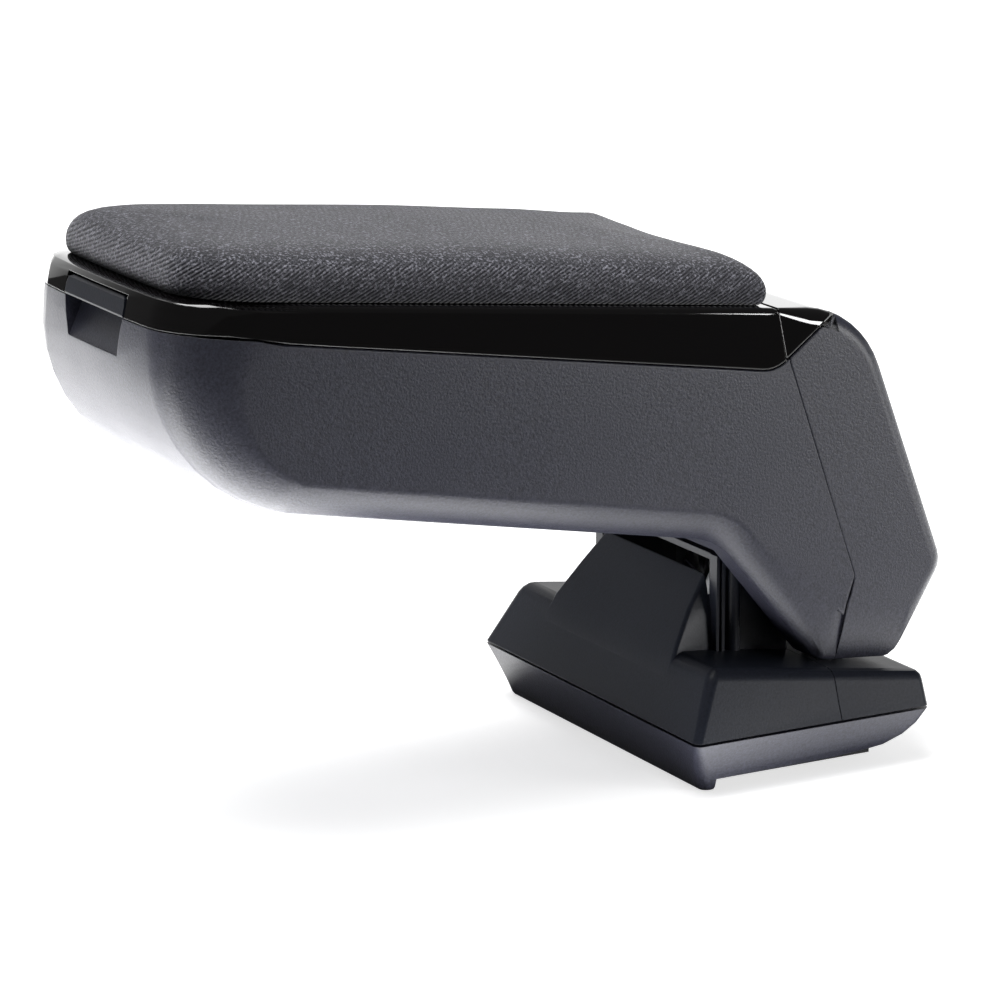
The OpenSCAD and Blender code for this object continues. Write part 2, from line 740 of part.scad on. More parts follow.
cover_in_high = concat(
    [for (i = [9, 12, 18, 24]) back_station(back_arc[i], arm_wall)],
    [for (i = [1 : 3]) back_station(kink_arc[i], arm_wall)],
    [station(shin_in, left(shin_dir) * -back_inset, back_drop, 2),
        open_station(heel_in[0], 10)]);

// Slots for the steel ears as the arm tips back, and tongues that clip into the leg
ear_slot_gap = 0.8;
ear_slot_top = 8;
tongue_y = half_w(-30) - arm_wall - 3.1;

module rear_cover() {
    color(grey)
        arm_frame() {
            difference() {
                difference() {
                    shell_block(cover_low, cover_high);
                    shell_block(cover_in_low, cover_in_high, arm_wall);
                }
                both_sides()
                    block([-30, ear_y - ear_slot_gap, -past], [past * 2, ear_y + steel_t + ear_slot_gap, ear_slot_top]);
            }
            both_sides() {
                block([-34, tongue_y, 41], [-18, tongue_y + 2.8, 49]);
                block([-24, tongue_y, 41], [-18, tongue_y + 4.5, 49]);
            }
        }
}

// The fixed gloss piece behind the lid, with the lugs that carry the lid's pins
lug_y = [38.3, 45.7];
pin_y = [lug_y[0] - 7.3, lug_y[1] + 9.3];
trim_front_high = [hinge[0] + 2.4, top_z];
trim_front_low = tail_low + [-0.8, 0];
trim_low = [for (f = [0, 0.33, 0.66, 0.97])
    station(mix(trim_front_low, tail_high, f) + [-0.2 * f, 0.2 * f], [-0.5, 0.5], seam_edge, 2)];
trim_high = concat([station(trim_front_high, [0, -2.5], 2.5, 2)],
    [for (i = [0, 3, 6]) back_station(back_arc[i])]);

module rear_trim() {
    color(gloss)
        arm_frame()
            difference() {
                union() {
                    shell_block(trim_low, trim_high);
                    both_sides() {
                        bar_y(hinge[0], hinge[1], barrel_r, lug_y[0], lug_y[1]);
                        side_plate([hinge + [-0.2, 0.6], hinge + [6, 0], hinge + [5, -2.4], hinge + [0.5, -2.4]],
                            lug_y[0], lug_y[1]);
                    }
                }
                bar_y(hinge[0], hinge[1], pin_r + run_gap, -lug_y[1] - 1, lug_y[1] + 1);
            }
}

// Steel plates, bushes and stops inside the leg
module hinge_plates() {
    color(steel)
        arm_frame()
            both_sides()
                translate([0, slot_half + cheek_t + steel_t, 0])
                    rotate([90, 0, 0])
                        linear_extrude(steel_t)
                            difference() {
                                hull() {
                                    circle(r = 11, $fn = 48);
                                    translate(plate_screw_at[0])
                                        circle(r = 8, $fn = 32);
                                    translate(plate_screw_at[1])
                                        circle(r = 8, $fn = 32);
                                }
                                circle(r = 8, $fn = 48);
                                for (p = plate_screw_at)
                                    translate(p)
                                        circle(r = plate_screw_r + 0.1, $fn = 32);
                            }
}

module plate_screws() {
    color(steel)
        arm_frame()
            both_sides()
                for (p = plate_screw_at)
                    translate([p[0], slot_half + cheek_t + steel_t, p[1]])
                        rotate([-90, 0, 0])
                            pan_screw(plate_screw_r, cheek_t + steel_t);
}

module pivot_bushes() {
    color(rubber)
        arm_frame()
            both_sides()
                difference() {
                    union() {
                        bar_y(0, 0, 8, bush_in, bush_out);
                        bar_y(0, 0, 11, bush_in, slot_half + cheek_t);
                    }
                    bar_y(0, 0, axle_r + run_gap, bush_in - 1, bush_out + 1);
                }
}

module rest_pads() {
    color(rubber)
        arm_frame()
            both_sides()
                block([beam_x[0] + 1, hood_half_high - 16.5, hood_top + body_gap],
                    [beam_x[1] - 1, hood_half_high - 2.5, beam_low]);
}

// Mat on the floor of the box
mat_a = chin_arc[chin_steps][0] + chin_arc[chin_steps][1] * arm_wall;
mat_b = [box_rear, belly_z(box_rear) + box_floor_t];
mat_half = half_w(front) - arm_wall - bevel_drop - 3.6;
module box_mat() {
    low = [mix(mat_a, mat_b, 0.02), mix(mat_a, mat_b, 0.98)];
    color(rubber)
        arm_frame()
            side_plate([low[0] + [0, 0.02], low[0] + [0, 1.6], low[1] + [0, 1.6], low[1] + [0, 0.02]],
                -mat_half, mat_half);
}

// Sprung strike with a bead that the latch's nose sits under
leaf_x = front + 16.5;
bead_z = 104;
module latch_strike() {
    color(steel)
        arm_frame()
            difference() {
                union() {
                    block([strike_face, -13, strike_low + 1], [strike_face + 1.2, 13, strike_low + 13.2]);
                    block([strike_face, -9, strike_low + 12], [leaf_x + 1, 9, strike_low + 13.2]);
                    block([leaf_x, -9, strike_low + 12], [leaf_x + 1, 9, bead_z + 2]);
                    bar_y(leaf_x + 0.3, bead_z, 1.3, -9, 9);
                }
                both_sides()
                    translate([strike_face - 1, strike_screw_y, strike_screw_z])
                        rotate([0, 90, 0])
                            cylinder(h = 5, r = small_screw_r + 0.1, $fn = 32);
            }
}

module strike_screws() {
    color(steel)
        arm_frame()
            both_sides()
                translate([strike_face + 1.2, strike_screw_y, strike_screw_z])
                    rotate([0, 90, 0])
                        pan_screw(small_screw_r, 6);
}

module lid_bumpers() {
    color(rubber)
        arm_frame()
            both_sides()
                translate([post_x, post_y, post_top])
                    cylinder(h = bumper_h, r = post_r - 0.5, $fn = 32);
}

// The lid
function lid_edge(x) = split_z(x) + lid_gap;
function liner_top(x) = lid_edge(x) + liner_gap + liner_t;
function low_station(x, z) = station([x, z], [0, seam_edge], seam_edge, 2);
function rim_station(x, z) = station([x, z], [0, -2.5], 2.5, 2);
lid_tail = [for (i = [0, 2, 4, 6, 8, 9]) let (p = tail_arc[i])
    station(p[0] + p[1] * lid_gap, p[1] * seam_edge, seam_edge, 2)];
roll_dir = left(unit(trim_front_low - trim_front_high));
lid_low = concat(
    [station([front, lid_edge(front)], [nose_inset, seam_edge], nose_drop, 2, nose_bow)],
    [for (i = [1 : run_steps]) low_station(nose_run(i), lid_edge(nose_run(i)))],
    [for (x = [-110, -85]) low_station(x, lid_edge(x))],
    lid_tail);
lid_high = concat(
    [station([front + 0.8, top_z - 4], [nose_inset, 0], nose_drop, 2, nose_bow),
        station([front + 2.2, top_z - 1.3], [nose_inset - 0.5, -1.5], nose_drop, 2, nose_bow),
        station([front + 5.5, top_z], [nose_inset - 3, -2.5], nose_drop, 2, nose_bow)],
    [for (i = [2 : run_steps]) rim_station(nose_run(i), top_z)],
    [for (x = [-150, -120, -90, -70]) rim_station(x, top_z)],
    [rim_station(hinge[0], top_z),
        station(hinge + turn(roll_dir, 36) * barrel_r, [-0.4, -1], 1, 2),
        station(hinge + roll_dir * barrel_r, [-seam_edge, 0], seam_edge, 2)]);
lid_deck = top_z - arm_wall;
lid_in_low = concat(
    [station([box_front, split_z(front) - past], [nose_inset, 0], nose_drop, 2, nose_bow)],
    [for (x = [nose_x, front + 90, -80, -57.5]) low_station(x, 70)]);
lid_in_high = concat(
    [station([box_front + 0.5, lid_deck], [nose_inset, -1.5], nose_drop, 2, nose_bow)],
    [for (x = [nose_x + 6, front + 90]) station([x, lid_deck], [0, -1.5], 1.5, 2)],
    [station([hinge[0] - 4.5, lid_deck], [0, -1.5], 1.5, 2),
        station([hinge[0] + 0.4, hinge[1] - 6.5], [-0.3, 0], 0.5, 2)]);

pocket_half = tab_half + 0.7;
pocket_wall = 3;
pocket_top = latch_axis[1] + 3.8;
pocket_rear = front + 17;
lid_screw_at = [[front + 68, 38], [hinge[0] - 32.2, 38]];
lid_screw_len = 9;
head_drop = 0.18;

module pocket(g) {
    block([front - (g > 0 ? -2.5 : past), -pocket_half - g, g > 0 ? split_z(front) + 1.5 : 70],
        [pocket_rear + (g > 0 ? 2 : 0), pocket_half + g, pocket_top + (g > 0 ? 1.5 : 0)]);
}

module lid_frame() {
    color(gloss)
        arm_frame()
            difference() {
                union() {
                    difference() {
                        shell_block(lid_low, lid_high);
                        shell_block(lid_in_low, lid_in_high, arm_wall);
                    }
                    pocket(pocket_wall);
                    for (p = lid_screw_at)
                        at_pairs([p])
                            translate([0, 0, liner_top(p[0]) + 0.3])
                                cylinder(h = lid_deck - liner_top(p[0]) + 0.7, r = 4, $fn = 32);
                }
                pocket(0);
                at_pairs(lid_screw_at)
                    translate([0, 0, 90])
                        cylinder(h = 26, r = small_screw_r, $fn = 32);
                both_sides() {
                    bar_y(hinge[0], hinge[1], barrel_r + 0.35, lug_y[0] - body_gap, lug_y[1] + body_gap);
                    block([hinge[0], lug_y[0] - body_gap, hinge[1] - 3], [0, lug_y[1] + body_gap, top_z + 1]);
                    bar_y(hinge[0], hinge[1], pin_r, 5, pin_y[1]);
                    block([hinge[0] - pin_r, 5, hinge[1] - 9], [hinge[0] + pin_r, pin_y[0], hinge[1]]);
                    bar_y(latch_axis[0], latch_axis[1], pin_r, -1, pocket_half + pocket_wall + 1);
                }
            }
}

liner_rear = hinge[0] + 0.3;
module liner_form() {
    t = liner_t;
    shell_block([station([box_front + 0.3, lid_edge(front) + liner_gap], [nose_inset, 0], nose_drop, 2, nose_bow),
            low_station(nose_x, lid_edge(nose_x) + liner_gap), low_station(-150, lid_edge(-150) + liner_gap),
            low_station(liner_rear, lid_edge(liner_rear) + liner_gap)],
        [station([box_front + 0.3, lid_edge(front) + liner_gap + t], [nose_inset, 0], nose_drop, 2, nose_bow),
            top_station(nose_x, lid_edge(nose_x) + liner_gap + t),
            top_station(-150, lid_edge(-150) + liner_gap + t),
            top_station(liner_rear - 0.6, lid_edge(liner_rear) + liner_gap + t)], arm_wall + 0.3);
}

module lid_liner() {
    color(black)
        arm_frame()
            difference() {
                liner_form();
                block([front - past, -pocket_half - pocket_wall - 0.3, 70],
                    [pocket_rear + 2.3, pocket_half + pocket_wall + 0.3, top_z]);
                at_pairs(lid_screw_at)
                    translate([0, 0, 70])
                        cylinder(h = 60, r = small_screw_r + 0.1, $fn = 32);
            }
}

module lid_screws() {
    color(steel)
        arm_frame()
            both_sides()
                for (p = lid_screw_at)
                    translate([p[0], p[1], lid_edge(p[0]) + liner_gap - head_drop])
                        mirror([0, 0, 1])
                            pan_screw(small_screw_r, lid_screw_len);
}

module lid_hinge_pins() {
    color(steel)
        arm_frame()
            both_sides()
                bar_y(hinge[0], hinge[1], pin_r, pin_y[0], pin_y[1]);
}

// The padded cushion
pad_front_x = front + 5.6;
pad_rear_x = hinge[0] - 2.4;
crown = top_z + cushion_h;
function pad_top(x, f, drop) = station([x, top_z + cushion_h * f], [0, -cushion_h * 0.6], drop, 2);
function pad_nose(x, f, inset, lower) = station([x, top_z + cushion_h * f], [inset, -lower], nose_drop, 2, nose_bow);
cushion_low = concat(
    [station([pad_front_x, top_z], [nose_inset - 3, 0], nose_drop, 2, nose_bow)],
    [for (x = [nose_x, nose_x + 12, nose_x + 26, front + 90, -150, -110, -85]) station([x, top_z], [0, 0], 0.01, 2)],
    [for (x = [-72, pad_rear_x]) station([x, top_z], [0, 0], 0.01, 2)]);
cushion_high = concat(
    [pad_nose(pad_front_x, 0.3, nose_inset - 3, 0), pad_nose(pad_front_x + 1.6, 0.62, nose_inset - 3, 4),
        pad_nose(pad_front_x + 8, 0.88, nose_inset - 4, 8), pad_nose(pad_front_x + 24, 0.98, nose_inset - 8, 11)],
    [pad_top(front + 90, 1, 12), pad_top(-150, 1, 12), pad_top(-100, 0.98, 12), pad_top(-76, 0.92, 11),
        pad_top(pad_rear_x, 0.76, 8), station([pad_rear_x + 1.6, top_z + cushion_h * 0.4], [0, 0], 3, 2)]);

module lid_cushion() {
    color(cloth)
        arm_frame()
            shell_block(cushion_low, cushion_high, ledge);
}

// The latch: a finger tab on a pin, with a hooked arm behind it
tab_low = split_z(front) + body_gap + 0.05;
tab_top = tab_low + tab_h;
hook_x = front + 11;
hook_half = 6;
hook_low = 99;
module latch_tab() {
    color(grey)
        arm_frame()
            difference() {
                union() {
                    intersection() {
                        side_plate([[front - 0.9, tab_low], [front - 1.2, tab_low + 0.7], [front - 0.5, tab_top - 1.1],
                            [front + 0.5, tab_top - 0.1], [front + 5.6, tab_top], [front + 5.6, latch_axis[1] - 2.6],
                            [front + 2.4, latch_axis[1] - 3.4], [front + 2, tab_low]], -tab_half, tab_half);
                        front_plate([[-tab_half, 90], [tab_half, 90], [tab_half, tab_top - 3.4],
                            [tab_half - 1, tab_top - 1], [tab_half - 3.4, tab_top], [3.4 - tab_half, tab_top],
                            [1 - tab_half, tab_top - 1], [-tab_half, tab_top - 3.4]], front - 10, front + 20);
                    }
                    side_plate([[front + 3, latch_axis[1] - 2.6], [front + 5, latch_axis[1] + 0.5],
                        [hook_x + 2.5, latch_axis[1] + 0.5], [hook_x + 2.5, hook_low + 2.5],
                        [leaf_x - 1 - body_gap, hook_low + 2.5], [leaf_x - 1 - body_gap, hook_low + 1.2],
                        [hook_x + 2, hook_low], [hook_x, hook_low], [hook_x, latch_axis[1] - 2.6]],
                        -hook_half, hook_half);
                }
                bar_y(latch_axis[0], latch_axis[1], pin_r + run_gap, -tab_half - 1, tab_half + 1);
            }
}

module latch_pin() {
    color(steel)
        arm_frame()
            bar_y(latch_axis[0], latch_axis[1], pin_r, -pocket_half - pocket_wall, pocket_half + pocket_wall);
}

// Return spring behind the tab
spring_turns = 5;
spring_r = 1.7;
wire_r = 0.3;
spring_x = [front + 6.9, pocket_rear - wire_r];
spring_steps = 60;
wire_sides = 8;
function spring_ring(i) =
    let (a = 360 * spring_turns * i / spring_steps, x = mix(spring_x[0], spring_x[1], i / spring_steps))
    [for (k = [0 : wire_sides - 1]) let (b = 360 * k / wire_sides, r = spring_r + wire_r * cos(b))
        [x + wire_r * sin(b), 14 + r * cos(a), latch_axis[1] + 0.6 + r * sin(a)]];

module latch_spring() {
    m = wire_sides;
    last = spring_steps * m;
    sides = [for (i = [0 : spring_steps - 1]) for (k = [0 : m - 1])
        let (j = (k + 1) % m, a = i * m)
        each [[a + k, a + m + k, a + m + j], [a + k, a + m + j, a + j]]];
    caps = [for (k = [1 : m - 2]) each [[0, k, k + 1], [last, last + k + 1, last + k]]];
    color(steel)
        arm_frame()
            both_sides()
                polyhedron(points = [for (i = [0 : spring_steps]) each spring_ring(i)],
                    faces = concat(sides, caps), convexity = 8);
}

foot();
foot_pad();
base_shell();
base_rear_cover();
pivot_bracket();
bracket_screws();
shell_screws();
pivot_axle();
friction_washers();
axle_clips();
arm_shell();
rear_cover();
rear_trim();
hinge_plates();
plate_screws();
pivot_bushes();
rest_pads();
box_mat();
latch_strike();
strike_screws();
lid_frame();
lid_liner();
lid_screws();
lid_bumpers();
lid_hinge_pins();
lid_cushion();
latch_tab();
latch_pin();
latch_spring();
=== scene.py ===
import json
import math

import bmesh
import bpy
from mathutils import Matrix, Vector

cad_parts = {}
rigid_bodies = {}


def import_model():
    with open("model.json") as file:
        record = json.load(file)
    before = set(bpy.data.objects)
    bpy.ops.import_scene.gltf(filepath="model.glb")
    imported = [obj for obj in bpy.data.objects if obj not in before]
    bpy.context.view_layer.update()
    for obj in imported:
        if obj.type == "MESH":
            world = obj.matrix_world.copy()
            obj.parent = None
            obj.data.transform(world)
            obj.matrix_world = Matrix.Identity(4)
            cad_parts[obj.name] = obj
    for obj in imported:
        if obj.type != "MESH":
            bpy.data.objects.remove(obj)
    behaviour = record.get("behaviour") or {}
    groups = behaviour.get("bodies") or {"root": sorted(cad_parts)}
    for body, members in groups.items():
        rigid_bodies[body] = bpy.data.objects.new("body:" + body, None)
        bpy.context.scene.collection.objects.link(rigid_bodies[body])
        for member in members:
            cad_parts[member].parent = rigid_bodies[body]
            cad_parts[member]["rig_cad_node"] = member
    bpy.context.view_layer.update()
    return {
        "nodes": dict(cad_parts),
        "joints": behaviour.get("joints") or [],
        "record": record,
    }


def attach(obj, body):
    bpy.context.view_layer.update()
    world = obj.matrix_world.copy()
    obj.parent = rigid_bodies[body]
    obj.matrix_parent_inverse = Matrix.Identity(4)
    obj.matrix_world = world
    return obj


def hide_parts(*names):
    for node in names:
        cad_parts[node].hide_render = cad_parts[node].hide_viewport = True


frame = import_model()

nodes = frame["nodes"]
record = frame["record"]
scene = bpy.context.scene
MM = 0.001

# The pivot in the row frame, in mm, and the arm's slope at rest, front end high
JOINTS = {joint["name"]: joint for joint in frame["joints"]}
PIVOT = [place / MM for place in JOINTS["arm_tilt"]["pos_m"]]
PITCH = math.radians(6.0)
# The arm in its own axes, in mm, as in the part's source: the origin is on the pivot and x points to the rear
FRONT = -303.0
HINGE_X = -62.8
TOP = 120.0
# Half the arm's width above the pivot, and its narrowing for each millimetre forward
ARM_HALF = 66.8
ARM_TAPER = 0.0122


def arm_point(x, y, z):
    """A point of the arm's own axes in mm, in the row frame in metres."""
    c, s = math.cos(PITCH), math.sin(PITCH)
    return Vector((PIVOT[0] + x * c + z * s, y, PIVOT[2] - x * s + z * c)) * MM


def arm_half(x):
    """Half the arm's width at x."""
    return ARM_HALF + ARM_TAPER * x


def add_object(name, data):
    """A new object in the scene."""
    obj = bpy.data.objects.new(name, data)
    scene.collection.objects.link(obj)
    return obj


class Graph:
    """The shader nodes of a material or of the world."""

    def __init__(self, owner):
        owner.use_nodes = True
        self.nodes = owner.node_tree.nodes
        self.links = owner.node_tree.links
        self.nodes.clear()

    def feed(self, socket, value):
        """Give an input a number or a colour, or link another node's output to it."""
        if isinstance(value, bpy.types.NodeSocket):
            self.links.new(value, socket)
        else:
            socket.default_value = value

    def feed_in_order(self, node, values):
        for socket, value in zip(node.inputs, values):
            self.feed(socket, value)

    def add(self, kind, *in_order, **by_name):
        """A node; in the name of an input an underscore stands for a space."""
        node = self.nodes.new("ShaderNode" + kind)
        self.feed_in_order(node, in_order)
        for key, value in by_name.items():
            self.feed(node.inputs[key.replace("_", " ")], value)
        return node

    def principled(self, **by_name):
        """The principled shader, as the surface."""
        shader = self.add("BsdfPrincipled", **by_name)
        self.add("OutputMaterial", shader.outputs[0])
        return shader

    def calc(self, operation, *values):
        """A number worked out from others."""
        node = self.nodes.new("ShaderNodeMath")
        node.operation = operation
        self.feed_in_order(node, values)
        return node.outputs[0]

    def vector_calc(self, operation, *vectors):
        """A dot product or a length."""
        node = self.nodes.new("ShaderNodeVectorMath")
        node.operation = operation
        self.feed_in_order(node, vectors)
        return node.outputs["Value"]

    def ramp(self, value, low, high, to_low=0.0, to_high=1.0, smooth=False):
        """A value from low to high, turned into one from to_low to to_high and held beyond them."""
        node = self.nodes.new("ShaderNodeMapRange")
        if smooth:
            node.interpolation_type = "SMOOTHSTEP"
        self.feed_in_order(node, (value, low, high, to_low, to_high))
        return node.outputs[0]

    def fade(self, value, low, high, to_low=0.0, to_high=1.0):
        """A ramp with soft ends."""
        return self.ramp(value, low, high, to_low, to_high, smooth=True)

    def noise(self, place, scale, detail, rough=0.5):
        return self.add("TexNoise", Vector=place, Scale=scale, Detail=detail, Roughness=rough).outputs[0]

    def mix_colours(self, blend, factor, a, b):
        node = self.nodes.new("ShaderNodeMix")
        node.data_type = "RGBA"
        node.blend_type = blend
        for key, value in (("Factor", factor), ("A", a), ("B", b)):
            self.feed(node.inputs[key], value)
        return node.outputs["Result"]

    def rounded(self, radius):
        """Normals that round the edges in the shading, by a radius in metres."""
        node = self.add("Bevel", Radius=radius)
        node.samples = 4
        return node.outputs[0]

    def object_place(self):
        return self.add("TexCoord").outputs["Object"]

    def surface(self, what):
        """The surface's "Position" or "Normal"."""
        return self.add("NewGeometry").outputs[what]

    def split(self, vector):
        """The x, y and z of a vector."""
        return self.add("SeparateXYZ", vector).outputs

    def seen_by_camera(self):
        return self.add("LightPath").outputs["Is Camera Ray"]


def new_material(name):
    """An empty material and its graph."""
    material = bpy.data.materials.new(name)
    return material, Graph(material)


# Moulded plastic: how fine its grain and its clouds are, the grain's depth and the edges' radius in metres
GRAIN_SCALE = 1150.0
CLOUD_SCALE = 22.0
GRAIN_DEPTH = 0.0003
MOULDED_EDGE = 0.0004
# The part of a noise's range that is used, and how far the clouds take the roughness down and up
NOISE_RANGE = (0.3, 0.7)
CLOUD_ROUGH = (-0.02, 0.03)

# Knit: the step between its ridges in metres, the direction across them, and their sway in radians
RIDGE_STEP = 0.00118
RIDGE_ACROSS = (-0.42, 0.25, 0.87)
RIDGE_SWAY = 5.0
SWAY_SCALE = 60.0
FLECK_SCALE = 1000.0
# How the ridges fade as the surface turns upward, how pale they are, and how high beside the flecks
RIDGE_FADE = (0.5, 0.97, 1.0, 0.12)
RIDGE_PALE = 0.28
RIDGE_HEIGHT = 1.4
# The part of the noise that gives pale flecks
FLECK_RANGE = (0.515, 0.68)


def plain(name, color, rough, metallic=0.0, edge=0.0, coat=0.0):
    """A smooth material, with its edges rounded in the shading by a radius in metres."""
    material, graph = new_material(name)
    shader = graph.principled(Base_Color=(*color, 1), Roughness=rough, Metallic=metallic,
                              Coat_Weight=coat, Coat_Roughness=0.03)
    if edge:
        graph.feed(shader.inputs["Normal"], graph.rounded(edge))
    return material


def grained(name, color, rough, grain, speck, spec=0.5):
    """Moulded plastic with a fine cast grain; grain is its strength, and speck how far the tone varies."""
    material, graph = new_material(name)
    place = graph.object_place()
    fine = graph.noise(place, GRAIN_SCALE, detail=3, rough=0.6)
    cloud = graph.noise(place, CLOUD_SCALE, detail=2)
    tone = graph.ramp(fine, *NOISE_RANGE, 1 - speck, 1 + speck)
    matt = graph.ramp(cloud, *NOISE_RANGE, *(rough + change for change in CLOUD_ROUGH))
    bump = graph.add("Bump", Strength=grain, Distance=GRAIN_DEPTH,
                     Height=fine, Normal=graph.rounded(MOULDED_EDGE))
    graph.principled(Base_Color=graph.mix_colours("MULTIPLY", 1, (*color, 1), tone),
                     Roughness=matt, Normal=bump.outputs[0], Specular_IOR_Level=spec)
    return material


def knit(name, color, light):
    """Knitted cloth: fine ridges over the pad's sides, and pale flecks on its top."""
    material, graph = new_material(name)
    place = graph.object_place()
    across = graph.vector_calc("DOT_PRODUCT", place, RIDGE_ACROSS)
    sway = graph.calc("MULTIPLY", graph.noise(place, SWAY_SCALE, detail=1), RIDGE_SWAY)
    phase = graph.calc("MULTIPLY_ADD", across, 2 * math.pi / RIDGE_STEP, sway)
    wave = graph.ramp(graph.calc("SINE", phase), -1, 1)
    upward = graph.split(graph.surface("Normal"))[2]
    ridge = graph.calc("MULTIPLY", wave, graph.fade(upward, *RIDGE_FADE))
    fleck = graph.noise(place, FLECK_SCALE, detail=2, rough=0.7)
    pale = graph.calc("MULTIPLY_ADD", ridge, RIDGE_PALE, graph.ramp(fleck, *FLECK_RANGE))
    pale = graph.calc("MINIMUM", pale, 1.0)
    height = graph.calc("MULTIPLY_ADD", ridge, RIDGE_HEIGHT, fleck)
    bump = graph.add("Bump", Strength=0.85, Distance=0.0004, Height=height)
    graph.principled(Base_Color=graph.mix_colours("MIX", pale, (*color, 1), (*light, 1)),
                     Normal=bump.outputs[0], Roughness=0.8, Specular_IOR_Level=0.3,
                     Sheen_Weight=0.3, Sheen_Roughness=0.45)
    return material


MATERIALS = {
    "grey_plastic": grained("grey_plastic", (0.027, 0.028, 0.041), 0.38, grain=0.45, speck=0.45),
    "black_plastic": grained("black_plastic", (0.009, 0.0105, 0.016), 0.4, grain=0.15, speck=0.25, spec=0.18),
    "gloss_black": plain("gloss_black", (0.0022, 0.0018, 0.002), 0.045, edge=0.0005, coat=0.6),
    "steel": plain("steel", (0.45, 0.46, 0.48), 0.32, metallic=1.0, edge=0.0002),
    "rubber": plain("rubber", (0.012, 0.012, 0.014), 0.8),
    "nylon": plain("nylon", (0.6, 0.59, 0.55), 0.45),
    "knit_fabric": knit("knit_fabric", (0.009, 0.009, 0.014), (0.24, 0.24, 0.28)),
}
SLOT_OF = {s["node"]: s["material_slot"] for s in record["subparts"]}
BODY_OF = {n: b for b, ns in record["behaviour"]["bodies"].items() for n in ns}


def paint(obj, slot):
    """Give the whole object its slot's material."""
    obj.data.materials.clear()
    obj.data.materials.append(MATERIALS[slot])
    for p in obj.data.polygons:
        p.material_index = 0


for name, obj in nodes.items():
    paint(obj, SLOT_OF[name])


# Moulded shells: an edge stays sharp where its faces meet at SHARP or more
SHELLS = (
    "foot", "base_shell", "base_rear_cover",
    "arm_shell", "rear_cover", "rear_trim",
    "lid_frame", "latch_tab",
)
SHARP = math.radians(28)
# Points closer than this, in metres, become one, and edges shorter than that are dissolved
WELD = 3e-6
SLIVER = 1e-6

# The arm's lower corner beside the long seam, in metres: its small facets are evened out and shaded as one
TOE = Vector((0.017, 0.064, 0.046))
TOE_REACH = 0.016
TOE_SHARP = math.radians(70)
TOE_X = (0.012, 0.0215)
TOE_Z = (0.039, 0.060)
TOE_SIDE = 0.0644
TOE_CREASE = math.radians(25)
TOE_PASSES = 12


def at_toe(p):
    """Whether a point lies on the side face at the toe."""
    return TOE_X[0] < p.x < TOE_X[1] and TOE_Z[0] < p.z < TOE_Z[1] and abs(p.y) > TOE_SIDE


def crease(vert):
    """The sharpest angle between faces that meet at a point."""
    return max((e.calc_face_angle(0) for e in vert.link_edges), default=0)


def even_toe(bm):
    """Even out the creased points of the side face at the toe."""
    creased = [v for v in bm.verts if at_toe(v.co) and crease(v) > TOE_CREASE]
    for _ in range(TOE_PASSES):
        bmesh.ops.smooth_vert(bm, verts=creased, factor=0.5,
                              use_axis_x=True, use_axis_y=True, use_axis_z=True)


def sharp_from(edge):
    """The angle from which an edge stays sharp."""
    halfway = (edge.verts[0].co + edge.verts[1].co) / 2
    by_toe = (Vector((halfway.x, abs(halfway.y), halfway.z)) - TOE).length < TOE_REACH
    return TOE_SHARP if by_toe else SHARP


def make_shell(node):
    """A welded, smooth shaded copy of a node's mesh, in the node's place."""
    bm = bmesh.new()
    bm.from_mesh(nodes[node].data)
    bmesh.ops.remove_doubles(bm, verts=bm.verts, dist=WELD)
    bmesh.ops.dissolve_degenerate(bm, edges=bm.edges, dist=SLIVER)
    if node == "arm_shell":
        even_toe(bm)
    for f in bm.faces:
        f.smooth = True
    for e in bm.edges:
        e.smooth = len(e.link_faces) == 2 and e.calc_face_angle(0) < sharp_from(e)
    mesh = bpy.data.meshes.new(node + "_look")
    bm.to_mesh(mesh)
    bm.free()
    obj = add_object(node + "_look", mesh)
    weigh = obj.modifiers.new("weigh", "WEIGHTED_NORMAL")
    weigh.keep_sharp = True
    weigh.weight = 60
    paint(obj, SLOT_OF[node])
    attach(obj, BODY_OF[node])
    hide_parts(node)


for node in SHELLS:
    make_shell(node)


# The padded cushion in the arm's axes, in mm
PAD_FRONT = FRONT + 5.8
PAD_REAR = HINGE_X - 0.8
PAD_FOOT = TOP + 0.3
PAD_INSET = 3.2
PAD_HEIGHT = 19.0
PAD_FRONT_R = 31.0
PAD_REAR_R = 3.0
# The front edge: how far it ends short of the sides, and how far it bows out
FRONT_SHORT = 20.5
FRONT_BOW = 1.4
# The middle line that the top closes in on: its ends in from the pad's front and rear, and its rise
CORE_FRONT = 46.0
CORE_REAR = 44.0
CORE_RISE = 0.6
TOP_RINGS = 12
# The crown: places along the pad, and the share of its height that each has
CROWN = (
    (PAD_FRONT, 0.95), (PAD_FRONT + 60, 1.01), (-170, 1.04),
    (-115, 1.0), (-78, 0.92), (PAD_REAR, 0.8),
)
# The side's rounding, from the foot up: how far in, and its share of the crown's height
SIDE = (
    (2.4, 0.0), (1.2, 0.05), (0.5, 0.12), (0.1, 0.21), (0.0, 0.31),
    (0.3, 0.42), (1.1, 0.53), (2.4, 0.635), (4.3, 0.73), (6.9, 0.81),
    (10.2, 0.875), (14.4, 0.925), (19.8, 0.962), (26.5, 0.985), (34.0, 1.0),
)
SIDE_DEPTH = SIDE[-1][0]
# Points closer than this, in metres, become one on the middle line
PAD_WELD = 5e-6


def curve(points, t):
    """A smooth line through points (t, value)."""
    if t <= points[0][0]:
        return points[0][1]
    for (a, u), (b, v) in zip(points, points[1:]):
        if t <= b:
            f = (t - a) / (b - a)
            f = f * f * (3 - 2 * f)
            return u + (v - u) * f
    return points[-1][1]


def crown(x):
    """Height of the pad's top above its foot."""
    return PAD_HEIGHT * curve(CROWN, x)


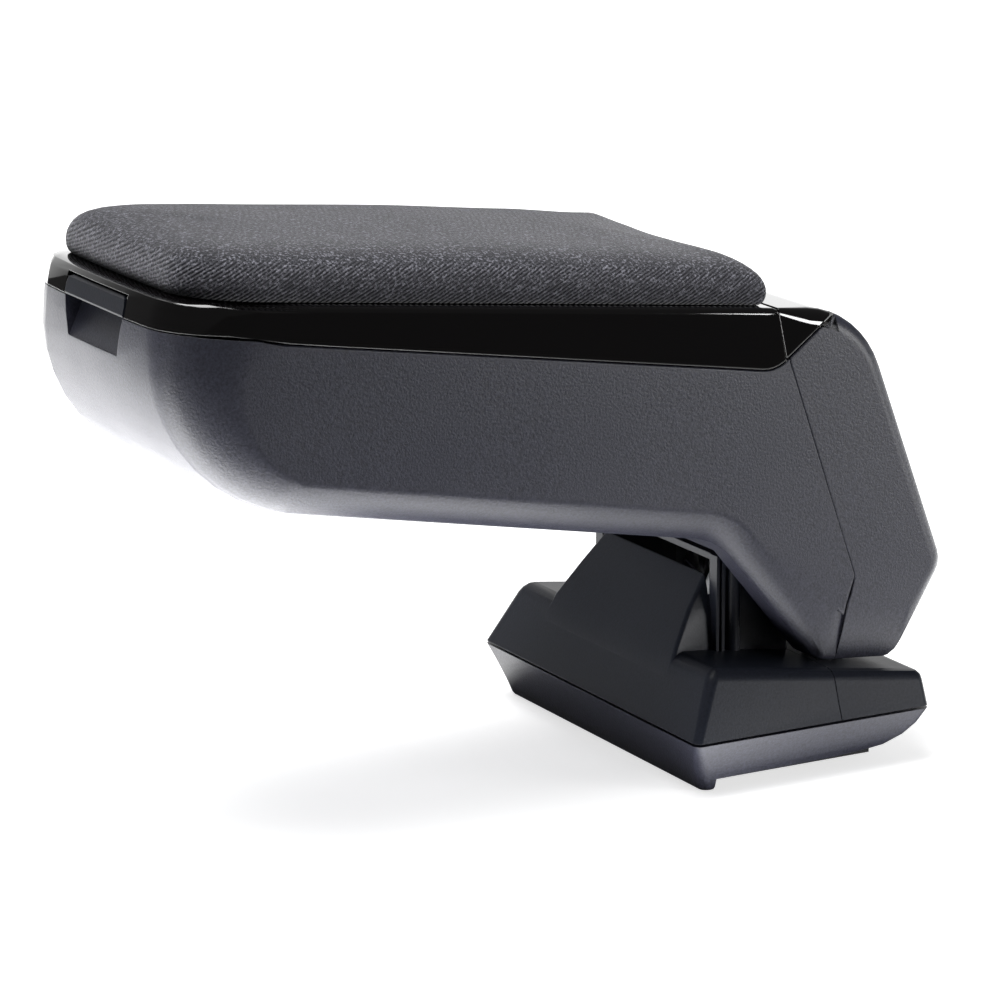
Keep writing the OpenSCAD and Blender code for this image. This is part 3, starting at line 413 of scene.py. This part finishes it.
def quarter_turn(steps):
    """Angles from 0 to 90 degrees."""
    return [math.pi / 2 * i / steps for i in range(steps + 1)]


def pad_outline(n_side=64, n_front_corner=18, n_rear_corner=6, n_across=24):
    """The pad's edge from above: the rear corner, one side, the front, the other side and the rear."""
    front_x = PAD_FRONT + PAD_FRONT_R
    front_y = arm_half(PAD_FRONT) - PAD_INSET - FRONT_SHORT
    rear_x = PAD_REAR - PAD_REAR_R
    rear_y = arm_half(PAD_REAR) - PAD_INSET - PAD_REAR_R
    side = [(rear_x + PAD_REAR_R * math.cos(a), rear_y + PAD_REAR_R * math.sin(a))
            for a in quarter_turn(n_rear_corner)]
    for i in range(1, n_side):
        x = rear_x + (front_x - rear_x) * i / n_side
        side.append((x, arm_half(x) - PAD_INSET))
    corner_y = arm_half(front_x) - PAD_INSET - front_y
    side += [(front_x - PAD_FRONT_R * math.sin(a), front_y + corner_y * math.cos(a))
             for a in quarter_turn(n_front_corner)]
    front = []
    for i in range(1, n_across):
        y = front_y - 2 * front_y * i / n_across
        front.append((PAD_FRONT - FRONT_BOW * (1 - (y / front_y) ** 2), y))
    rear = [(PAD_REAR, -rear_y + 2 * rear_y * i / n_across) for i in range(1, n_across)]
    return side + front + [(x, -y) for x, y in side[::-1]] + rear


def step_in(x, y, inward, share=0.0):
    """A point moved towards the middle line by a length, and then by a share of what is left."""
    core_x = min(max(x, PAD_FRONT + CORE_FRONT), PAD_REAR - CORE_REAR)
    g = inward / math.hypot(core_x - x, y)
    g += (1 - g) * share
    return x + (core_x - x) * g, y - y * g


def side_point(x, y, inward, share):
    """The point over one of the outline's, on a ring of the side."""
    x, y = step_in(x, y, inward)
    return arm_point(x, y, PAD_FOOT + crown(x) * share)


def top_point(x, y, share):
    """The point over one of the outline's, on a ring of the top."""
    x, y = step_in(x, y, SIDE_DEPTH, share)
    return arm_point(x, y, PAD_FOOT + crown(x) + CORE_RISE * share * (2 - share))


def make_cushion():
    """The pad: rings that climb its side and then close in on its middle line."""
    outline = pad_outline()
    rings = [[side_point(x, y, *step) for x, y in outline] for step in SIDE]
    rings += [[top_point(x, y, k / TOP_RINGS) for x, y in outline] for k in range(1, TOP_RINGS + 1)]
    bm = bmesh.new()
    rings = [[bm.verts.new(p) for p in ring] for ring in rings]
    for low, high in zip(rings, rings[1:]):
        for i in range(len(outline)):
            j = (i + 1) % len(outline)
            bm.faces.new((low[i], low[j], high[j], high[i])).smooth = True
    bm.faces.new(rings[0][::-1])
    bmesh.ops.remove_doubles(bm, verts=bm.verts, dist=PAD_WELD)
    bmesh.ops.recalc_face_normals(bm, faces=bm.faces)
    mesh = bpy.data.meshes.new("cushion")
    bm.to_mesh(mesh)
    bm.free()
    obj = add_object("cushion", mesh)
    paint(obj, "knit_fabric")
    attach(obj, "lid")
    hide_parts("lid_cushion")


make_cushion()


# The floor, just under the foot's lip, in metres
FLOOR_HALF = 6.0
FLOOR_Z = -0.0035
# The floor's light: each fade runs from one place to the next, in metres, and from one level to the other.
# START and END run along x, NEAR and FAR along y.
BAND_LIGHT = 10.5
BAND_START = (-0.85, -0.35, 0.0, 1.0)
BAND_END = (-0.12, 0.03, 1.0, 0.35)
BAND_NEAR = (-0.20, -0.05, 0.0, 1.0)
BAND_FAR = (-0.04, 0.13, 1.0, 0.34)
RIGHT_START = (-0.05, 0.25, 0.0, 1.0)
RIGHT_NEAR = (-0.60, -0.42, 0.0, 1.0)
# A painted shadow round the base, a dark patch in the floor's light: half its length and width, and the fade
# across its edge
PAINTED_SHADOW_HALF = (0.155, 0.080)
PAINTED_SHADOW_EDGE = (-0.006, 0.014)
LEAST_LIGHT = 0.05
# The camera's floor: its tone from the middle outward
PALE_FADE = (0.3, 0.8, 0.66, 1.0)
# The world's glow: the way it comes from, and its strength as a ray turns that way
BACK_WAY = (0.30, 0.93, 0.20)
BACK_FADE = (0.70, 0.97, 0.10, 1.8)


def floor_light(graph):
    """The floor as a light: a bright band under and behind the arm, and a soft part on the right, dimmed by a
    painted shadow round the base.
    """
    x, y, _ = graph.split(graph.surface("Position"))
    across = graph.calc("MULTIPLY", graph.fade(y, *BAND_NEAR), graph.fade(y, *BAND_FAR))
    along = graph.calc("MULTIPLY", graph.fade(x, *BAND_START), graph.fade(x, *BAND_END))
    band = graph.calc("MULTIPLY", across, along)
    right = graph.calc("MULTIPLY", graph.fade(x, *RIGHT_START), graph.fade(y, *RIGHT_NEAR))
    glow = graph.calc("MULTIPLY_ADD", band, BAND_LIGHT, right)
    # Painted shadow: the floor's light is dimmed in a patch round the base, and left whole outside it
    from_end, from_side = [graph.calc("SUBTRACT", graph.calc("ABSOLUTE", place), half)
                           for place, half in zip((x, y), PAINTED_SHADOW_HALF)]
    clear = graph.fade(graph.calc("MAXIMUM", from_end, from_side), *PAINTED_SHADOW_EDGE)
    return graph.calc("ADD", graph.calc("MULTIPLY", glow, clear), LEAST_LIGHT)


def make_floor():
    """Pale with a faint shadow to the camera, and to all other rays a light that holds a painted shadow round
    the base.
    """
    mesh = bpy.data.meshes.new("floor")
    corners = [(x * FLOOR_HALF, y * FLOOR_HALF, 0) for x, y in ((-1, -1), (1, -1), (1, 1), (-1, 1))]
    mesh.from_pydata(corners, [], [(0, 1, 2, 3)])
    floor = add_object("floor", mesh)
    floor.location = (0, 0, FLOOR_Z)
    material, graph = new_material("floor")
    light = graph.add("Emission", Strength=floor_light(graph))
    reach = graph.vector_calc("LENGTH", graph.surface("Position"))
    pale = graph.add("Emission", Strength=graph.fade(reach, *PALE_FADE))
    matt = graph.add("BsdfDiffuse")
    seen = graph.add("AddShader", pale.outputs[0], matt.outputs[0])
    mix = graph.add("MixShader", graph.seen_by_camera(), light.outputs[0], seen.outputs[0])
    graph.add("OutputMaterial", mix.outputs[0])
    mesh.materials.append(material)


def make_world():
    """White to the camera, and a soft glow from behind to all other rays."""
    world = bpy.data.worlds.new("studio")
    scene.world = world
    graph = Graph(world)
    ray = graph.add("TexCoord").outputs["Generated"]
    glow = graph.fade(graph.vector_calc("DOT_PRODUCT", ray, BACK_WAY), *BACK_FADE)
    strength = graph.add("Mix", Factor=graph.seen_by_camera(), A=glow, B=1.0)
    background = graph.add("Background", Strength=strength.outputs[0])
    graph.add("OutputWorld", background.outputs[0])


def make_softbox(name, place, target, size, power):
    """A rectangular lamp that faces a target."""
    data = bpy.data.lights.new(name, "AREA")
    data.shape = "RECTANGLE"
    data.size, data.size_y = size
    data.energy = power
    lamp = add_object(name, data)
    lamp.location = place
    lamp.rotation_euler = (Vector(target) - Vector(place)).to_track_quat("-Z", "Y").to_euler()


def make_camera():
    """The photograph's view."""
    data = bpy.data.cameras.new("camera")
    data.lens = 154.8
    data.sensor_width = 36
    data.clip_end = 50
    az, el = math.radians(29.3), math.radians(14.4)
    look = Vector((math.sin(az) * math.cos(el), math.cos(az) * math.cos(el), -math.sin(el)))
    camera = add_object("camera", data)
    camera.location = (-0.8512, -1.3569, 0.4976)
    camera.rotation_euler = look.to_track_quat("-Z", "Y").to_euler()
    scene.camera = camera


make_floor()
make_world()
make_softbox("top", place=(-0.25, 0.15, 1.4), target=(-0.09, 0.0, 0.12), size=(1.1, 0.8), power=22)
make_softbox("fill_right", place=(0.85, -1.0, 0.22), target=(0.03, -0.07, 0.12), size=(0.5, 0.3), power=8)
make_camera()
scene.view_settings.view_transform = "Standard"
scene.view_settings.look = "None"
scene.cycles.use_denoising = True
